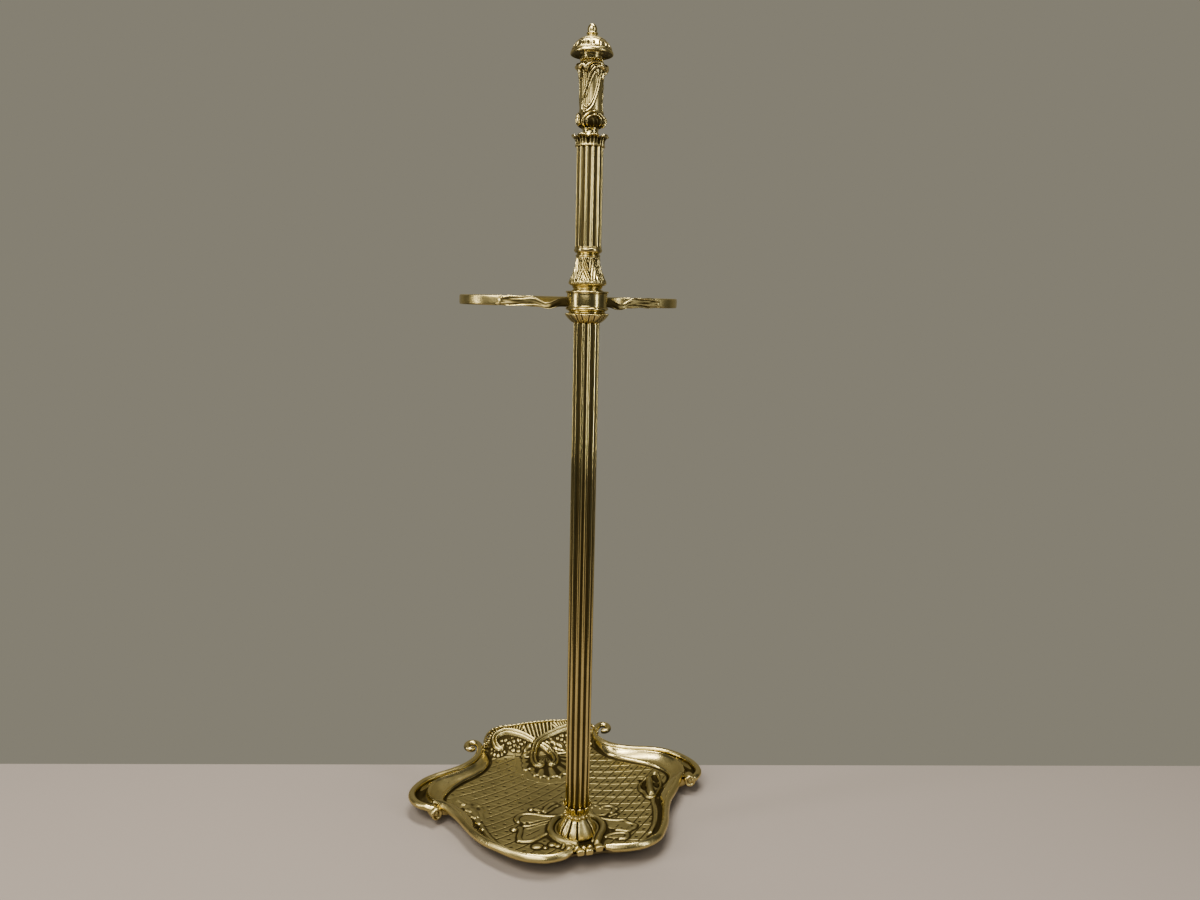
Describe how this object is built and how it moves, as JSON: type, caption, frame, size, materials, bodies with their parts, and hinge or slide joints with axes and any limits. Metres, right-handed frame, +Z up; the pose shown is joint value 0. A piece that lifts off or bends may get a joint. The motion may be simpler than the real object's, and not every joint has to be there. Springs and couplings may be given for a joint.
{
  "type": "umbrella stand",
  "caption": "Free-standing brass umbrella stand: a fluted column on a cast dish tray with a shell back, and cast rings that hold umbrellas upright over the tray.",
  "frame": {"origin": "middle of the footprint, on the surface that the feet stand on", "axes": "+Z up along the column; +Y towards the shell at the back of the tray, the side the rings reach to; x = 0 is the mirror plane"},
  "size_m": [0.302, 0.2434, 0.7247],
  "materials": {
    "cast_brass": "aged cast brass, dark in the hollows and bright on the edges",
    "drawn_brass": "polished fluted tube with light ageing",
    "turned_brass": "polished turned brass with light ageing",
    "steel": "plain dull steel"
  },
  "bodies": {
    "root": {"tray": "cast_brass", "column_foot": "cast_brass", "foot_collar": "cast_brass", "lower_tube": "drawn_brass", "gadrooned_cup": "cast_brass", "cove_collar": "turned_brass", "umbrella_ring": "cast_brass", "hub_flange": "turned_brass", "baluster_seat": "turned_brass", "baluster": "cast_brass", "tube_ring": "turned_brass", "upper_tube": "drawn_brass", "leaf_crown": "cast_brass", "neck_spacer": "turned_brass", "grip": "cast_brass", "beaded_neck": "cast_brass", "dome_cap": "cast_brass", "finial": "turned_brass", "tie_rod": "steel", "tray_washer": "steel", "tray_nut": "steel"}
  },
  "joints": []
}
